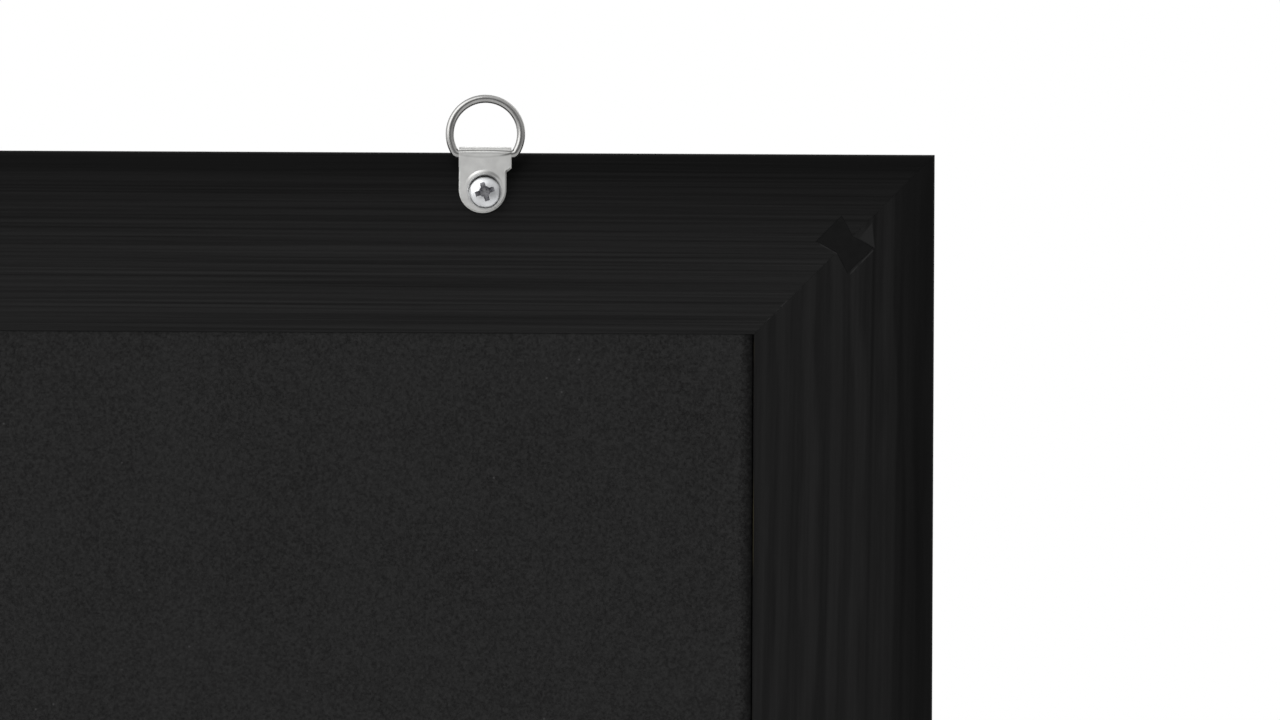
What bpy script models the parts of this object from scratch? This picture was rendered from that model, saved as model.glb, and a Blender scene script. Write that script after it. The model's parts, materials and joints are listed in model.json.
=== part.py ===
"""Wall chalkboard: a coated panel in a mitred, lacquered wood frame that hangs by two D-rings.

Its front faces -Y and its back lies on the plane y = 0. The origin is midway between the two
places where nails carry the rings, so the frame's top edge lies a little below it.
"""

import math

import bmesh
import bpy
from mathutils import Matrix

MM = 0.001

# Whole board
BOARD_WIDTH = 400 * MM
BOARD_HEIGHT = 600 * MM
GLUE_GAP = 0.3 * MM  # between the glued faces of neighbouring wood pieces

# Moulding of the frame, measured inwards from the outer edge and forwards from the back
MOULDING_DEPTH = 15 * MM
BACK_WIDTH = 39.5 * MM  # outer edge to the wall of the rebate that holds the panel
LIP_WIDTH = 6 * MM  # what the front covers beyond that wall
REBATE_DEPTH = 3.6 * MM
CROWN_WIDTH = 14 * MM  # outer strip of the back that falls away in a long curve
CROWN_FALL = 3 * MM
BACK_EDGE_RADIUS = 1.2 * MM
FRONT_EDGE_RADIUS = 4 * MM
SIGHT_EDGE_RADIUS = 3 * MM  # front edge beside the writing surface
CROWN_STEPS = 10
EDGE_STEPS = 5

# Panel in the rebate: it is pushed up to the top rail and a little narrow at the sides
PANEL_THICKNESS = 3 * MM
PANEL_TOP_GAP = 0.3 * MM
PANEL_SIDE_GAP = 1.6 * MM
PANEL_BOTTOM_GAP = 1.6 * MM
PANEL_EDGE_BEVEL = 0.25 * MM

# Double dovetail key across each mitre, let in from the back
KEY_LENGTH = 9.8 * MM  # across the mitre
KEY_END_WIDTH = 7.9 * MM
KEY_WAIST_WIDTH = 5 * MM
KEY_DEPTH = 10 * MM
KEY_SINK = 0.2 * MM  # below the back of the frame
POCKET_OVERRUN = 2 * MM

# D-ring
HANGER_INSET = 98.4 * MM  # outer side edge to the ring's centre
WIRE_DIAMETER = 1.8 * MM
RING_DIAMETER = 17.4 * MM  # outside
RING_RISE = 4.5 * MM  # bar to the centre of the round part
RING_CORNER_RADIUS = 1 * MM  # middle of the wire
RING_STEPS = 36
CORNER_STEPS = 4

# Hanger strap: a strip folded round the ring's bar and closed under the screw
SHEET = 0.6 * MM
FOLD_PLAY = 0.1 * MM  # all round the wire
FOLD_SIDE_PLAY = 0.1 * MM  # each end of the fold to the ring's corner
LAYER_GAP = 0.1 * MM
BAR_ABOVE_SCREW = 8.6 * MM
FOLD_CLOSE_ANGLE = math.radians(150)  # where the front layer leaves the roll
FOLD_STEPS = 16
SHOULDER_ABOVE_SCREW = 5.7 * MM
SHOULDER_DROP = 0.9 * MM
HOLE_ABOVE_SCREW = 0.5 * MM  # the load pulls the strap up against the screw
HOLE_PLAY = 0.5 * MM  # shank to the nearest side of the hole
COLLAR_PLAY = 0.1 * MM  # screw head to the nearest side of the pressed collar
COLLAR_WALL = 0.6 * MM
COLLAR_HEIGHT = 0.55 * MM
COLLAR_ROOT = 0.3 * MM  # depth to which the collar is one with the front layer
COLLAR_STEPS = 5
TAIL_BORDER = 0.4 * MM  # outside of the collar to the edge of the round tail
TAIL_STEPS = 20
SEAT_GAP = 0.2 * MM  # strap to wood, and screw head to strap

# Pan head wood screw
SCREW_BELOW_EDGE = 9.2 * MM  # frame's top edge to the screw
HEAD_DIAMETER = 7 * MM
HEAD_HEIGHT = 2.4 * MM
HEAD_RIM_HEIGHT = 0.6 * MM
HEAD_STEPS = 8
SHANK_DIAMETER = 3.2 * MM
SCREW_LENGTH = 12 * MM  # under the head
POINT_LENGTH = 3 * MM
RECESS_SPAN = 4.4 * MM
RECESS_ARM_WIDTH = 1.1 * MM
RECESS_DEPTH = 1.5 * MM
RECESS_TURN = math.radians(17)
PILOT_PLAY = 0.3 * MM
TURNING_STEPS = 32
CUT_OVERRUN = 1 * MM

WELD_DISTANCE = 0.001 * MM
SHARP_ANGLE = math.radians(30)

# Worked out from the sizes above
CROWN_RADIUS = (CROWN_WIDTH**2 + CROWN_FALL**2) / (2 * CROWN_FALL)
SCREW_INTO_CROWN = max(0.0, CROWN_WIDTH - SCREW_BELOW_EDGE)
HANGER_LEAN = math.asin(SCREW_INTO_CROWN / CROWN_RADIUS)
SCREW_DROP = CROWN_RADIUS * (1 - math.cos(HANGER_LEAN))
MITRE_SETBACK = GLUE_GAP / 2 * math.sqrt(2)

WIRE_RADIUS = WIRE_DIAMETER / 2
RING_RADIUS = RING_DIAMETER / 2 - WIRE_RADIUS
CORNER_X = math.sqrt((RING_RADIUS - RING_CORNER_RADIUS) ** 2 - (RING_RISE - RING_CORNER_RADIUS) ** 2)
FOLD_WIDTH = 2 * (CORNER_X - FOLD_SIDE_PLAY)
FOLD_RADIUS = WIRE_RADIUS + FOLD_PLAY + SHEET / 2
BAR_HEIGHT = SEAT_GAP + SHEET / 2 + FOLD_RADIUS
STRAP_TOP = SEAT_GAP + 2 * SHEET + LAYER_GAP
HEAD_SEAT = STRAP_TOP + SEAT_GAP
HOLE_RADIUS = SHANK_DIAMETER / 2 + HOLE_ABOVE_SCREW + HOLE_PLAY
COLLAR_INNER_RADIUS = HEAD_DIAMETER / 2 + HOLE_ABOVE_SCREW + COLLAR_PLAY
COLLAR_OUTER_RADIUS = COLLAR_INNER_RADIUS + COLLAR_WALL
TAIL_RADIUS = COLLAR_OUTER_RADIUS + TAIL_BORDER

NAIL_ABOVE_BAR = RING_RISE + RING_RADIUS - WIRE_RADIUS
LEAN_UP = math.cos(HANGER_LEAN)
LEAN_OUT = math.sin(HANGER_LEAN)
NAIL_ABOVE_EDGE = (BAR_ABOVE_SCREW + NAIL_ABOVE_BAR) * LEAN_UP + BAR_HEIGHT * LEAN_OUT - SCREW_BELOW_EDGE
TOP_Z = -NAIL_ABOVE_EDGE
MIDDLE_Z = TOP_Z - BOARD_HEIGHT / 2

SIDES = {"left": -1, "right": 1}
LEVELS = {"upper": 1, "lower": -1}


def clear_scene():
    for obj in list(bpy.data.objects):
        bpy.data.objects.remove(obj, do_unlink=True)


def new_collection(name, hidden=False):
    collection = bpy.data.collections.new(name)
    bpy.context.scene.collection.children.link(collection)
    collection.hide_render = hidden
    return collection


def finish(name, colour, roughness, metallic=0.0):
    """A Principled material of one colour."""
    material = bpy.data.materials.new(name)
    material.use_nodes = True
    shader = material.node_tree.nodes["Principled BSDF"]
    shader.inputs["Base Color"].default_value = (*colour, 1.0)
    shader.inputs["Roughness"].default_value = roughness
    shader.inputs["Metallic"].default_value = metallic
    return material


def arc(centre, radius, start, end, steps):
    """Points on a circle from one angle to another, both included."""
    return [
        (
            centre[0] + radius * math.cos(start + (end - start) * i / steps),
            centre[1] + radius * math.sin(start + (end - start) * i / steps),
        )
        for i in range(steps + 1)
    ]


def curve_object(name, points, collection, closed=True):
    """A poly curve through points of the XY plane."""
    curve = bpy.data.curves.new(name, "CURVE")
    spline = curve.splines.new("POLY")
    spline.points.add(len(points) - 1)
    for point, (x, y) in zip(spline.points, points):
        point.co = (x, y, 0, 1)
    spline.use_cyclic_u = closed
    obj = bpy.data.objects.new(name, curve)
    collection.objects.link(obj)
    return obj


def as_mesh(obj, collection):
    """The curve's object as a mesh object of the same name, its caps welded to its sides."""
    name = obj.name
    bpy.context.view_layer.update()
    evaluated = obj.evaluated_get(bpy.context.evaluated_depsgraph_get())
    mesh = bpy.data.meshes.new_from_object(evaluated)
    weld(mesh)
    placed = obj.matrix_world.copy()
    bpy.data.objects.remove(obj, do_unlink=True)
    made = bpy.data.objects.new(name, mesh)
    mesh.name = name
    made.matrix_world = placed
    collection.objects.link(made)
    return made


def weld(mesh):
    cage = bmesh.new()
    cage.from_mesh(mesh)
    bmesh.ops.remove_doubles(cage, verts=cage.verts, dist=WELD_DISTANCE)
    bmesh.ops.recalc_face_normals(cage, faces=cage.faces)
    cage.to_mesh(mesh)
    cage.free()


def prism(name, outline, depth, collection):
    """A flat outline of the XY plane made depth thick, half of it on each side of the plane."""
    obj = curve_object(name, outline, collection)
    obj.data.dimensions = "2D"
    obj.data.fill_mode = "BOTH"
    obj.data.extrude = depth / 2
    return as_mesh(obj, collection)


def box(name, size, collection):
    mesh = bpy.data.meshes.new(name)
    cage = bmesh.new()
    bmesh.ops.create_cube(cage, size=1, matrix=Matrix.Diagonal((*size, 1)))
    cage.to_mesh(mesh)
    cage.free()
    obj = bpy.data.objects.new(name, mesh)
    collection.objects.link(obj)
    return obj


def turned(name, profile, collection, closed=False):
    """A profile of (radius, height) points, outer side downwards, turned about Z."""
    mesh = bpy.data.meshes.new(name)
    count = len(profile)
    edges = [(i, i + 1) for i in range(count - 1)]
    if closed:
        edges.append((count - 1, 0))
    mesh.from_pydata([(radius, 0, height) for radius, height in profile], edges, [])
    obj = bpy.data.objects.new(name, mesh)
    collection.objects.link(obj)
    screw = obj.modifiers.new("Turn", "SCREW")
    screw.steps = TURNING_STEPS
    screw.render_steps = TURNING_STEPS
    screw.use_merge_vertices = True
    screw.merge_threshold = WELD_DISTANCE
    screw.use_smooth_shade = True
    return obj


def pin(name, diameter, length, collection):
    """A round cutter along Z, centred on the origin."""
    mesh = bpy.data.meshes.new(name)
    cage = bmesh.new()
    bmesh.ops.create_cone(
        cage,
        cap_ends=True,
        segments=TURNING_STEPS,
        radius1=diameter / 2,
        radius2=diameter / 2,
        depth=length,
    )
    cage.to_mesh(mesh)
    cage.free()
    obj = bpy.data.objects.new(name, mesh)
    collection.objects.link(obj)
    return obj


def combine(obj, other, operation):
    """Leaves a live Boolean on the object and hides the piece that it uses."""
    modifier = obj.modifiers.new(other.name, "BOOLEAN")
    modifier.operation = operation
    modifier.solver = "EXACT"
    modifier.object = other
    other.hide_render = True
    other.display_type = "WIRE"


def keep_flats_flat(obj):
    """Lets the large faces rule the shading, so a long curve doesn't darken the flat beside it."""
    modifier = obj.modifiers.new("Shading", "WEIGHTED_NORMAL")
    modifier.keep_sharp = True


def moulding_outline():
    """Section of the frame: x runs inwards from the outer edge, y from the front to the back."""
    crown_centre = (CROWN_WIDTH, -CROWN_RADIUS)
    reach = CROWN_RADIUS - BACK_EDGE_RADIUS
    across = CROWN_WIDTH - BACK_EDGE_RADIUS
    edge_centre = (BACK_EDGE_RADIUS, math.sqrt(reach**2 - across**2) - CROWN_RADIUS)
    meeting = math.pi / 2 + math.asin(across / reach)
    front_centre = (FRONT_EDGE_RADIUS, FRONT_EDGE_RADIUS - MOULDING_DEPTH)
    sight_x = BACK_WIDTH + LIP_WIDTH
    sight_centre = (sight_x - SIGHT_EDGE_RADIUS, SIGHT_EDGE_RADIUS - MOULDING_DEPTH)
    return (
        arc(crown_centre, CROWN_RADIUS, math.pi / 2, meeting, CROWN_STEPS)
        + arc(edge_centre, BACK_EDGE_RADIUS, meeting, math.pi, EDGE_STEPS)[1:]
        + arc(front_centre, FRONT_EDGE_RADIUS, math.pi, 1.5 * math.pi, EDGE_STEPS)
        + arc(sight_centre, SIGHT_EDGE_RADIUS, 1.5 * math.pi, 2 * math.pi, EDGE_STEPS)
        + [(sight_x, -REBATE_DEPTH), (BACK_WIDTH, -REBATE_DEPTH), (BACK_WIDTH, 0)]
    )


def frame_member(name, length, place, turn, material):
    """One length of moulding along Z with its ends mitred, turned about Y to its side."""
    member = prism(name, moulding_outline(), length, parts)
    for vertex in member.data.vertices:
        reach = length / 2 - vertex.co.x - MITRE_SETBACK
        vertex.co.z = math.copysign(reach, vertex.co.z)
    member.location = place
    member.rotation_euler = (0, turn, 0)
    member.data.materials.append(material)
    member.data.shade_smooth()
    member.data.set_sharp_from_angle(angle=SHARP_ANGLE)
    return member


def key_outline(growth=0.0):
    """Bow tie with its long axis on X, made larger all round by growth."""
    end_x = KEY_LENGTH / 2 + growth
    end_y = KEY_END_WIDTH / 2 + growth
    waist_y = KEY_WAIST_WIDTH / 2 + growth
    return [
        (-end_x, -end_y),
        (0, -waist_y),
        (end_x, -end_y),
        (end_x, end_y),
        (0, waist_y),
        (-end_x, end_y),
    ]


def corner_key(name, side, level, material):
    """The key and the cutter of its pocket, in the middle of one mitre."""
    x = side * (BOARD_WIDTH - BACK_WIDTH) / 2
    z = MIDDLE_Z + level * (BOARD_HEIGHT - BACK_WIDTH) / 2
    turn = (-math.pi / 2, side * level * math.pi / 4, 0)
    key = prism(name, key_outline(), KEY_DEPTH, parts)
    key.location = (x, -KEY_SINK - KEY_DEPTH / 2, z)
    key.rotation_euler = turn
    key.data.materials.append(material)
    floor = KEY_SINK + KEY_DEPTH + GLUE_GAP
    pocket = prism(name + "_pocket", key_outline(GLUE_GAP), floor + POCKET_OVERRUN, cutters)
    pocket.location = (x, (POCKET_OVERRUN - floor) / 2, z)
    pocket.rotation_euler = turn
    return pocket


def chalk_panel(material):
    width = BOARD_WIDTH - 2 * BACK_WIDTH - 2 * PANEL_SIDE_GAP
    height = BOARD_HEIGHT - 2 * BACK_WIDTH - PANEL_TOP_GAP - PANEL_BOTTOM_GAP
    panel = box("chalk_panel", (width, PANEL_THICKNESS, height), parts)
    panel.location = (
        0,
        PANEL_THICKNESS / 2 + GLUE_GAP - REBATE_DEPTH,
        TOP_Z - BACK_WIDTH - PANEL_TOP_GAP - height / 2,
    )
    edges = panel.modifiers.new("Edges", "BEVEL")
    edges.width = PANEL_EDGE_BEVEL
    edges.segments = 1
    panel.data.materials.append(material)


def hanger_axis(name, side):
    """An empty on the screw's axis: X to the right seen from behind, Y up the strap, Z outwards."""
    axis = bpy.data.objects.new(name + "_hanger_axis", None)
    axis.location = (side * (BOARD_WIDTH / 2 - HANGER_INSET), -SCREW_DROP, TOP_Z - SCREW_BELOW_EDGE)
    axis.rotation_euler = (math.pi / 2 - HANGER_LEAN, 0, math.pi)
    parts.objects.link(axis)
    return axis


def fold_path():
    """Middle of the sheet, seen from the side: up the back layer, round the bar, down the front."""
    back_y = SEAT_GAP + SHEET / 2
    front_y = back_y + SHEET + LAYER_GAP
    tail_x = -TAIL_RADIUS - CUT_OVERRUN
    roll = arc((BAR_ABOVE_SCREW, BAR_HEIGHT), FOLD_RADIUS, -math.pi / 2, FOLD_CLOSE_ANGLE, FOLD_STEPS)
    leave_x, leave_y = roll[-1]
    foot_x = leave_x - (leave_y - front_y) * math.tan(math.pi - FOLD_CLOSE_ANGLE)
    return [(tail_x, back_y)] + roll + [(foot_x, front_y), (tail_x, front_y)]


def strap_outline():
    """Strap seen from behind: full width at the fold, shoulders, and a round tail below the hole."""
    fold_x = FOLD_WIDTH / 2
    top = BAR_ABOVE_SCREW + FOLD_RADIUS + SHEET + CUT_OVERRUN
    tail = arc((0, HOLE_ABOVE_SCREW), TAIL_RADIUS, math.pi, 2 * math.pi, TAIL_STEPS)
    left = [
        (-fold_x, top),
        (-fold_x, SHOULDER_ABOVE_SCREW),
        (-TAIL_RADIUS, SHOULDER_ABOVE_SCREW - SHOULDER_DROP),
    ]
    return left + tail + [(-x, y) for x, y in reversed(left)]


def collar_profile():
    """Section of the pressed collar: a low wall with a round top, rooted in the front layer."""
    middle = (COLLAR_INNER_RADIUS + COLLAR_OUTER_RADIUS) / 2
    shoulder = STRAP_TOP + COLLAR_HEIGHT - COLLAR_WALL / 2
    crown = arc((middle, shoulder), COLLAR_WALL / 2, math.pi, 0, COLLAR_STEPS)
    root = STRAP_TOP - COLLAR_ROOT
    return crown + [(COLLAR_OUTER_RADIUS, root), (COLLAR_INNER_RADIUS, root)]


def strap(name, axis, material):
    sheet = curve_object(name + "_hanger_strap", fold_path(), parts, closed=False)
    sheet.data.dimensions = "2D"
    sheet.data.fill_mode = "NONE"
    sheet.data.extrude = FOLD_WIDTH
    sheet = as_mesh(sheet, parts)
    sheet.data.transform(Matrix.Rotation(math.pi / 2, 4, "Z") @ Matrix.Rotation(math.pi / 2, 4, "X"))
    wall = sheet.modifiers.new("Sheet", "SOLIDIFY")
    wall.thickness = SHEET
    wall.offset = 0
    wall.use_even_offset = True
    depth = 2 * (BAR_HEIGHT + FOLD_RADIUS + SHEET + CUT_OVERRUN)
    hole = pin(name + "_strap_hole", 2 * HOLE_RADIUS, depth, cutters)
    collar = turned(name + "_strap_collar", collar_profile(), cutters, closed=True)
    blank = prism(name + "_strap_blank", strap_outline(), depth, cutters)
    for other in (hole, collar):
        other.location = (0, HOLE_ABOVE_SCREW, 0)
    for obj in (sheet, hole, collar, blank):
        obj.parent = axis
    combine(sheet, blank, "INTERSECT")
    combine(sheet, collar, "UNION")
    combine(sheet, hole, "DIFFERENCE")
    sheet.data.materials.append(material)


def ring_path():
    """Middle of the wire, from the middle of the bar: the closed path of a D with round corners."""
    centre = (0, RING_RISE)
    corner = (CORNER_X, RING_CORNER_RADIUS)
    meeting = math.atan2(RING_CORNER_RADIUS - RING_RISE, CORNER_X)
    right = arc(corner, RING_CORNER_RADIUS, -math.pi / 2, meeting, CORNER_STEPS)
    bow = arc(centre, RING_RADIUS, meeting, math.pi - meeting, RING_STEPS)
    left = [(-x, y) for x, y in reversed(right)]
    return right + bow[1:-1] + left


def ring(name, axis, material):
    bar_axis = bpy.data.objects.new(name + "_ring_axis", None)
    bar_axis.location = (0, BAR_ABOVE_SCREW, BAR_HEIGHT)
    bar_axis.parent = axis
    parts.objects.link(bar_axis)
    wire = curve_object(name + "_hanger_ring", ring_path(), parts)
    wire.data.dimensions = "3D"
    wire.data.bevel_depth = WIRE_RADIUS
    wire.data.bevel_resolution = 3
    wire = as_mesh(wire, parts)
    wire.parent = bar_axis
    wire.data.materials.append(material)
    wire.data.shade_smooth()


def screw_profile():
    """Pan head, shank and point, from the top of the head down."""
    head = arc((0, 0), 1, math.pi / 2, 0, HEAD_STEPS)
    dome_height = HEAD_HEIGHT - HEAD_RIM_HEIGHT
    dome = [(x * HEAD_DIAMETER / 2, HEAD_SEAT + HEAD_RIM_HEIGHT + y * dome_height) for x, y in head]
    tip = HEAD_SEAT - SCREW_LENGTH
    return dome + [
        (HEAD_DIAMETER / 2, HEAD_SEAT),
        (SHANK_DIAMETER / 2, HEAD_SEAT),
        (SHANK_DIAMETER / 2, tip + POINT_LENGTH),
        (0, tip),
    ]


def screw(name, axis, side, material):
    """The screw, and the cutter of its pilot hole."""
    body = turned(name + "_hanger_screw", screw_profile(), parts)
    body.parent = axis
    for arm, turn in enumerate((0, math.pi / 2)):
        size = (RECESS_SPAN, RECESS_ARM_WIDTH, 2 * RECESS_DEPTH)
        cutter = box(f"{name}_recess_{arm + 1}", size, cutters)
        cutter.location = (0, 0, HEAD_SEAT + HEAD_HEIGHT)
        cutter.rotation_euler = (0, 0, turn + side * RECESS_TURN)
        cutter.parent = axis
        combine(body, cutter, "DIFFERENCE")
    body.data.materials.append(material)
    pilot_depth = SCREW_LENGTH - HEAD_SEAT + PILOT_PLAY
    pilot = pin(name + "_pilot", SHANK_DIAMETER + 2 * PILOT_PLAY, pilot_depth + CUT_OVERRUN, cutters)
    pilot.location = (0, 0, (CUT_OVERRUN - pilot_depth) / 2)
    pilot.parent = axis
    return pilot


def build():
    lacquer = finish("black_lacquer", (0.015, 0.015, 0.015), 0.45)
    key_finish = finish("key_lacquer", (0.011, 0.011, 0.011), 0.4)
    slate = finish("chalk_coating", (0.019, 0.019, 0.019), 0.85)
    zinc = finish("zinc_plated_steel", (0.48, 0.48, 0.46), 0.35, 1.0)
    nickel = finish("nickel_plated_steel", (0.62, 0.6, 0.57), 0.15, 1.0)

    bottom_z = TOP_Z - BOARD_HEIGHT
    edge_x = BOARD_WIDTH / 2
    quarter = math.pi / 2
    members = {
        "left_stile": frame_member("left_stile", BOARD_HEIGHT, (-edge_x, 0, MIDDLE_Z), 0, lacquer),
        "top_rail": frame_member("top_rail", BOARD_WIDTH, (0, 0, TOP_Z), quarter, lacquer),
        "right_stile": frame_member("right_stile", BOARD_HEIGHT, (edge_x, 0, MIDDLE_Z), 2 * quarter, lacquer),
        "bottom_rail": frame_member("bottom_rail", BOARD_WIDTH, (0, 0, bottom_z), 3 * quarter, lacquer),
    }
    rails = {"upper": members["top_rail"], "lower": members["bottom_rail"]}
    for level_name, level in LEVELS.items():
        for side_name, side in SIDES.items():
            pocket = corner_key(f"{level_name}_{side_name}_key", side, level, key_finish)
            combine(rails[level_name], pocket, "DIFFERENCE")
            combine(members[f"{side_name}_stile"], pocket, "DIFFERENCE")
    chalk_panel(slate)
    for side_name, side in SIDES.items():
        axis = hanger_axis(side_name, side)
        strap(side_name, axis, zinc)
        ring(side_name, axis, nickel)
        combine(members["top_rail"], screw(side_name, axis, side, zinc), "DIFFERENCE")
    for member in members.values():
        keep_flats_flat(member)


clear_scene()
parts = new_collection("wall_chalkboard")
cutters = new_collection("cutters", hidden=True)
build()
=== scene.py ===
# %% [markdown]
# # A wall chalkboard, seen from behind
# A chalkboard for a kitchen or a café wall is a thin coated panel in a mitred wood frame. Its
# back tells how it was made: four lengths of moulding, a bow-tie key let in across each mitre,
# a rebate that holds the panel, and two small D-rings for a pair of nails. The solids of the
# model give every place and size, and each piece here is a finer skin made to their measure.

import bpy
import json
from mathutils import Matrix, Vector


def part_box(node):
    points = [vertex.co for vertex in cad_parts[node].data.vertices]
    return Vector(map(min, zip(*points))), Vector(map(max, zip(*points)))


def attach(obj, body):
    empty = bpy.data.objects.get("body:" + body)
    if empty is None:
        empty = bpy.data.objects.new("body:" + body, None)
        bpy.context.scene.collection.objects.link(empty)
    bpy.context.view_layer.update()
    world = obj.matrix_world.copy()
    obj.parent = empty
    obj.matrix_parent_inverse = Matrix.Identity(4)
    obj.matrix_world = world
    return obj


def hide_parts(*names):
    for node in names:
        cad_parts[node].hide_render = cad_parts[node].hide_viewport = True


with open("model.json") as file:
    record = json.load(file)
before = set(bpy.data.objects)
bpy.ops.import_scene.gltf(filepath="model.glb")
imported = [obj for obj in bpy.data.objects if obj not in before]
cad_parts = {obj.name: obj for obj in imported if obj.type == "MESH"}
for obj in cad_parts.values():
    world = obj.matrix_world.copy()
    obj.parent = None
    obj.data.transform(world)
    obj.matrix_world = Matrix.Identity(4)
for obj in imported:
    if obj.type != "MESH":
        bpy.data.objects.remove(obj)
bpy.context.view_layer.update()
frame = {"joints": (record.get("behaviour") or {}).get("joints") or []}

# %% Tools and units
import json
import math

import bmesh
import bpy
import numpy as np
from mathutils import Matrix, Vector

MM = 0.001
TURN = 2 * math.pi
QUARTER = TURN / 4
SIDES = {"left": -1, "right": 1}

# %% [markdown]
# ## Sizes
# The outside of the frame, the panel and the two joint axes are read from the solids. The
# section of the moulding and the small hardware are given again by the few sizes that a
# workshop drawing would show, so a reader can change one and see what follows.

# %% Sizes of the frame
top_low, top_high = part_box("top_rail")
bottom_low, bottom_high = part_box("bottom_rail")
panel_low, panel_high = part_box("chalk_panel")
LEFT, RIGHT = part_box("left_stile")[0].x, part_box("right_stile")[1].x
TOP, BOTTOM = top_high.z, bottom_low.z
DEPTH = -top_low.y
WIDTH, HEIGHT = RIGHT - LEFT, TOP - BOTTOM
MIDDLE = (TOP + BOTTOM) / 2
PANEL_TOP_GAP = 0.3 * MM
BACK_WIDTH = TOP - PANEL_TOP_GAP - panel_high.z
LIP_WIDTH = 6 * MM
REBATE_DEPTH = 3.6 * MM
CROWN_WIDTH, CROWN_FALL = 14 * MM, 3 * MM
CROWN_RADIUS = (CROWN_WIDTH**2 + CROWN_FALL**2) / (2 * CROWN_FALL)
print(f"board {WIDTH / MM:.0f} x {HEIGHT / MM:.0f} x {DEPTH / MM:.0f} mm, moulding {BACK_WIDTH / MM:.1f} mm")

# %% [markdown]
# ## Camera
# The photograph looks squarely at the upper corner of the back with a long lens, so a plain
# camera on the far side of the board does the same. Its distance is large against the board's
# depth, which keeps the edges parallel, and a quarter of a degree of roll follows the picture.

# %% Camera
VIEW_CENTRE = Vector((-0.13563, 0.0, -0.05609))
VIEW_WIDTH = 0.2798
CAMERA_DISTANCE = 1.6
CAMERA_ROLL = math.radians(0.27)
SENSOR_WIDTH = 36

lens = bpy.data.cameras.new("camera")
lens.sensor_width = SENSOR_WIDTH
lens.lens = SENSOR_WIDTH * CAMERA_DISTANCE / VIEW_WIDTH
camera = bpy.data.objects.new("camera", lens)
bpy.context.scene.collection.objects.link(camera)
facing = Matrix.Rotation(math.pi, 4, "Z") @ Matrix.Rotation(QUARTER, 4, "X")
stand = Matrix.Translation(VIEW_CENTRE + Vector((0, CAMERA_DISTANCE, 0)))
camera.matrix_world = stand @ facing @ Matrix.Rotation(CAMERA_ROLL, 4, "Z")
bpy.context.scene.camera = camera
bpy.context.scene.view_settings.view_transform = "Standard"
print(f"lens {lens.lens:.0f} mm at {CAMERA_DISTANCE} m")

# %% [markdown]
# ## A small kit for finishes
# A finish is a tree of nodes, and so is the studio's light. Wrapping the tree in a class keeps
# each recipe short: `add` makes a node and fills its inputs, and an input is either a number or
# another node's output.

# %% Kit of nodes
class Recipe:
    """A tree of nodes in the making, of a material or of the world."""

    def __init__(self, owner):
        owner.use_nodes = True
        self.tree = owner.node_tree

    def feed(self, socket, value):
        """Links another node's output to a socket, or sets the socket to a number."""
        if isinstance(value, bpy.types.NodeSocket):
            self.tree.links.new(value, socket)
        else:
            socket.default_value = value

    def add(self, kind, inputs=None, **settings):
        """Makes a node, with its settings and its inputs."""
        node = self.tree.nodes.new("ShaderNode" + kind)
        for key, value in settings.items():
            setattr(node, key, value)
        for key, value in (inputs or {}).items():
            self.feed(node.inputs[key], value)
        return node

    def math(self, operation, value, *others):
        """A sum, a product or the like of two values, or of more, taken in turn."""
        for other in others or (0.0,):
            value = self.add("Math", {0: value, 1: other}, operation=operation).outputs[0]
        return value

    def product(self, *values):
        """All values multiplied."""
        return self.math("MULTIPLY", *values)

    def distance(self, first, second):
        """How far apart two values are."""
        return self.math("ABSOLUTE", self.math("SUBTRACT", first, second))

    def spread(self, value, low, high, to_low=0.0, to_high=1.0, **settings):
        """Value between low and high, carried over to another pair of numbers and held there."""
        inputs = {"Value": value, "From Min": low, "From Max": high, "To Min": to_low, "To Max": to_high}
        return self.add("MapRange", inputs, **settings).outputs["Result"]

    def dot(self, vector, direction):
        """How far a place lies along a direction (x, z) of the back."""
        inputs = {0: vector, 1: (direction[0], 0, direction[1])}
        return self.add("VectorMath", inputs, operation="DOT_PRODUCT").outputs["Value"]

    def parts(self, vector):
        """The X, Y and Z of a place."""
        return self.add("SeparateXYZ", {0: vector}).outputs


class Finish(Recipe):
    """A material in the making, with its Principled shader and its Object coordinates."""

    def __init__(self, name):
        self.material = bpy.data.materials.new(name)
        super().__init__(self.material)
        self.shader = self.tree.nodes["Principled BSDF"]
        self.place = self.add("TexCoord").outputs["Object"]

    def mapped(self, vector, scale=(1, 1, 1), rotation=(0, 0, 0)):
        """A place stretched and turned."""
        inputs = {"Vector": vector, "Scale": scale, "Rotation": rotation}
        return self.add("Mapping", inputs).outputs["Vector"]

    def noise(self, vector, scale, detail=2.0, roughness=0.5):
        """Cloudy values from 0 to 1, with scale features to a unit of length."""
        inputs = {"Vector": vector, "Scale": scale, "Detail": detail, "Roughness": roughness}
        return self.add("TexNoise", inputs).outputs["Fac"]

    def cloud(self, scale, detail=2.0):
        """Noise that is the same in all directions, with scale features to a millimetre."""
        return self.noise(self.mapped(self.place, scale=PER_MM), scale, detail)

    def blend(self, share, first, second):
        """Colour between two others by a share of the second.

        The node has sockets for each kind of value: inputs 6 and 7 and output 2 are colours.
        """
        return self.add("Mix", {0: share, 6: first, 7: second}, data_type="RGBA").outputs[2]

    def set(self, **values):
        """Sets or links sockets of the shader, whose names are written with underscores."""
        for key, value in values.items():
            self.feed(self.shader.inputs[key.replace("_", " ")], value)

    def relief(self, height, depth):
        """A bump of a real depth in metres."""
        inputs = {"Height": height, "Distance": depth, "Strength": 1.0}
        self.set(Normal=self.add("Bump", inputs).outputs["Normal"])

    def coat(self, colour, rough, gloss):
        """Look of a surface that isn't metal."""
        self.set(Base_Color=colour, Roughness=rough, Specular_IOR_Level=gloss)


PER_MM = (1 / MM, 1 / MM, 1 / MM)


def grey(level, warmth=0.0):
    """A near neutral colour; warmth shifts it a little from blue to red."""
    return (level * (1 + warmth), level, level * (1 - warmth), 1.0)


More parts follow.
